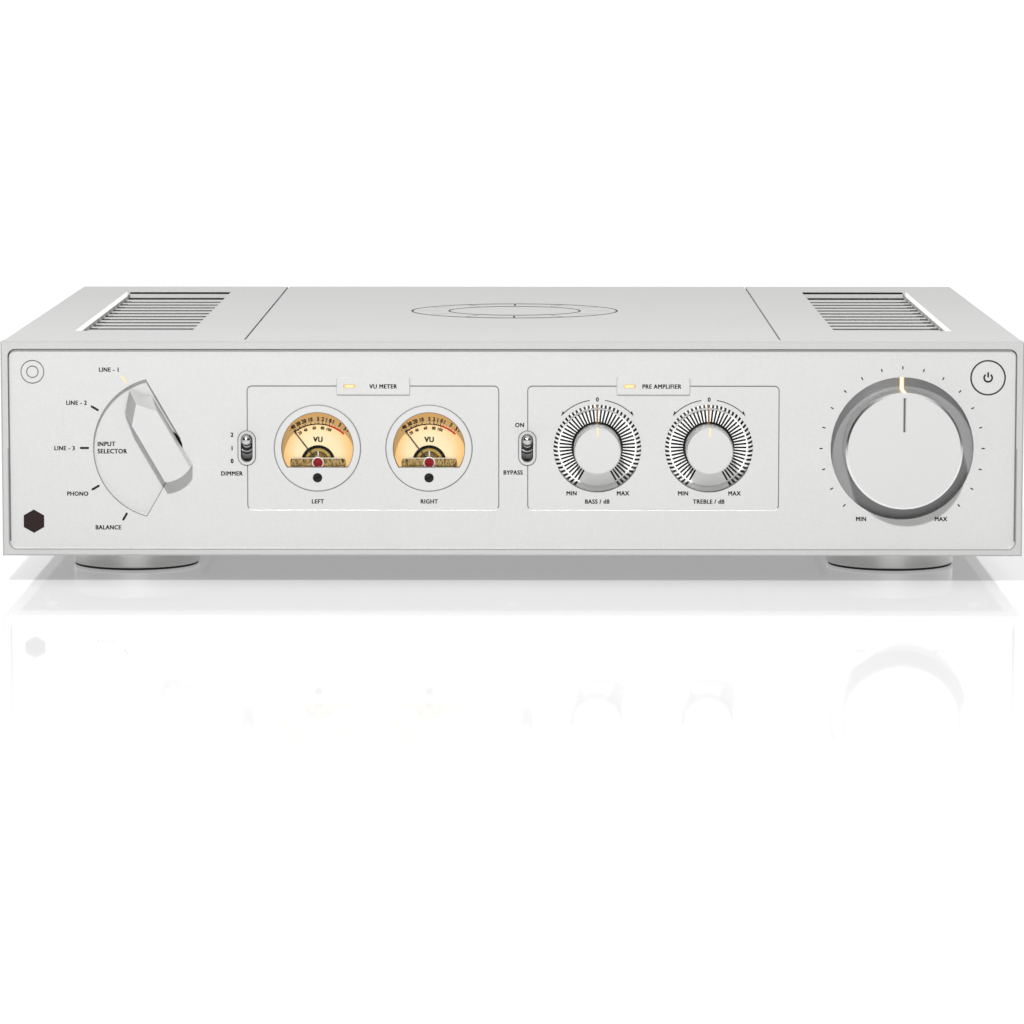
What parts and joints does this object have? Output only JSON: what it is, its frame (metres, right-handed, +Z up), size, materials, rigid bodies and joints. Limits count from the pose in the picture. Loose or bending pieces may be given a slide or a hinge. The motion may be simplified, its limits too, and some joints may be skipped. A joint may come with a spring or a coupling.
{
  "type": "stereo amplifier",
  "caption": "Full-width silver stereo amplifier with round level meters, tone knobs, input selector, large volume knob, vented top and rear terminals.",
  "frame": {"origin": "on the surface it stands on, under the middle of the overall box", "axes": "+X right seen from the front, +Y front to back, +Z up"},
  "size_m": [0.43, 0.3764, 0.103],
  "materials": {
    "anodised_panel": "fine bead-blasted silver anodising",
    "anodised_case": "fine bead-blasted silver anodising",
    "anodised_knob": "satin silver anodising, fine grain",
    "polished_metal": "polished",
    "well_ring": "satin anodising",
    "dial_ring": "light satin with dark slots",
    "meter_front": "satin silver",
    "black_plastic": "moulded",
    "gloss_black": "smooth, dark infrared filter",
    "glass": "clear",
    "dial_paper": "warm back-lit scale",
    "brass": "turned",
    "red_jewel": "glossy",
    "needle_black": "matt",
    "lamp_lens": "lit warm",
    "steel_case": "fine textured powder coat",
    "zinc_steel": "zinc plated",
    "rubber": "matt",
    "board_green": "solder mask",
    "winding": "wrapped windings",
    "can_sleeve": "shrink sleeve",
    "gold_plate": "gold plated",
    "cap_clear": "fluted"
  },
  "bodies": {
    "case": {"front_panel": "anodised_panel", "top_cover_center": "anodised_case", "top_cover_left": "anodised_case", "top_cover_right": "anodised_case", "side_panel_left": "anodised_case", "side_panel_right": "anodised_case", "vent_grille_left": "anodised_case", "vent_grille_right": "anodised_case", "bottom_plate": "steel_case", "rear_panel": "steel_case", "feet": "anodised_knob", "foot_pads": "rubber", "chassis_screws": "zinc_steel", "meter_bezels": "meter_front", "meter_lenses": "glass", "meter_cases": "black_plastic", "meter_dials": "dial_paper", "meter_movements": "brass", "meter_bridges": "brass", "meter_jewels": "red_jewel", "zero_screws": "black_plastic", "toggle_bezels": "polished_metal", "tone_dial_rings": "dial_ring", "volume_ring": "well_ring", "selector_switch": "black_plastic", "potentiometers": "black_plastic", "tag_plates": "anodised_panel", "tag_lamps": "lamp_lens", "panel_switches": "black_plastic", "ir_window": "gloss_black", "control_board": "board_green", "transformer": "winding", "circuit_boards": "board_green", "board_supports": "zinc_steel", "filter_capacitors": "can_sleeve", "heat_sinks": "anodised_case", "output_transistors": "black_plastic", "line_sockets": "gold_plate", "terminal_posts": "gold_plate", "power_inlet": "black_plastic", "rocker_frame": "black_plastic"},
    "volume_control": {"volume_knob": "anodised_knob", "volume_shaft": "zinc_steel", "volume_light": "lamp_lens"},
    "bass_control": {"bass_knob": "anodised_knob", "bass_shaft": "zinc_steel"},
    "treble_control": {"treble_knob": "anodised_knob", "treble_shaft": "zinc_steel"},
    "input_selector": {"selector_knob": "anodised_knob", "selector_shaft": "zinc_steel"},
    "dimmer_switch": {"dimmer_lever": "polished_metal"},
    "bypass_switch": {"bypass_lever": "polished_metal"},
    "power_key": {"power_button": "anodised_panel"},
    "left_needle": {"needle_left": "needle_black"},
    "right_needle": {"needle_right": "needle_black"},
    "rocker_key": {"mains_rocker": "black_plastic"},
    "post_cap_1": {"terminal_cap_1": "cap_clear"},
    "post_cap_2": {"terminal_cap_2": "cap_clear"},
    "post_cap_3": {"terminal_cap_3": "cap_clear"},
    "post_cap_4": {"terminal_cap_4": "cap_clear"}
  },
  "joints": [
    {"name": "volume_turn", "type": "hinge", "parent": "case", "child": "volume_control", "pos_m": [0.1642, -0.1762, 0.058], "axis": [0, 1, 0], "range_deg": [-135, 135]},
    {"name": "bass_turn", "type": "hinge", "parent": "case", "child": "bass_control", "pos_m": [0.0359, -0.1762, 0.058], "axis": [0, 1, 0], "range_deg": [-150, 150]},
    {"name": "treble_turn", "type": "hinge", "parent": "case", "child": "treble_control", "pos_m": [0.0829, -0.1762, 0.058], "axis": [0, 1, 0], "range_deg": [-150, 150]},
    {"name": "selector_turn", "type": "hinge", "parent": "case", "child": "input_selector", "pos_m": [-0.1466, -0.1762, 0.058], "axis": [0, -1, 0], "range_deg": [0, 120]},
    {"name": "dimmer_tip", "type": "hinge", "parent": "case", "child": "dimmer_switch", "pos_m": [-0.1118, -0.1701, 0.058], "axis": [1, 0, 0], "range_deg": [0, 44]},
    {"name": "bypass_tip", "type": "hinge", "parent": "case", "child": "bypass_switch", "pos_m": [0.0064, -0.1701, 0.058], "axis": [1, 0, 0], "range_deg": [0, 44]},
    {"name": "power_press", "type": "slide", "parent": "case", "child": "power_key", "axis": [0, 1, 0], "range_m": [0, 0.0015], "stiffness_N_per_m": 300, "springref_m": -0.003},
    {"name": "left_needle_swing", "type": "hinge", "parent": "case", "child": "left_needle", "pos_m": [-0.082, -0.1712, 0.0515], "axis": [0, 1, 0], "range_deg": [0, 80], "stiffness_Nm_per_rad": 0.0002, "springref_deg": -34.38},
    {"name": "right_needle_swing", "type": "hinge", "parent": "case", "child": "right_needle", "pos_m": [-0.035, -0.1712, 0.0515], "axis": [0, 1, 0], "range_deg": [0, 80], "stiffness_Nm_per_rad": 0.0002, "springref_deg": -34.38},
    {"name": "rocker_tip", "type": "hinge", "parent": "case", "child": "rocker_key", "pos_m": [0.172, 0.17, 0.074], "axis": [0, 0, 1], "range_deg": [-14, 0]},
    {"name": "cap_1_turn", "type": "hinge", "parent": "case", "child": "post_cap_1", "pos_m": [-0.189, 0.181, 0.046], "axis": [0, 1, 0], "range_deg": [0, 720]},
    {"name": "cap_2_turn", "type": "hinge", "parent": "case", "child": "post_cap_2", "pos_m": [-0.169, 0.181, 0.046], "axis": [0, 1, 0], "range_deg": [0, 720]},
    {"name": "cap_3_turn", "type": "hinge", "parent": "case", "child": "post_cap_3", "pos_m": [-0.143, 0.181, 0.046], "axis": [0, 1, 0], "range_deg": [0, 720]},
    {"name": "cap_4_turn", "type": "hinge", "parent": "case", "child": "post_cap_4", "pos_m": [-0.123, 0.181, 0.046], "axis": [0, 1, 0], "range_deg": [0, 720]}
  ]
}
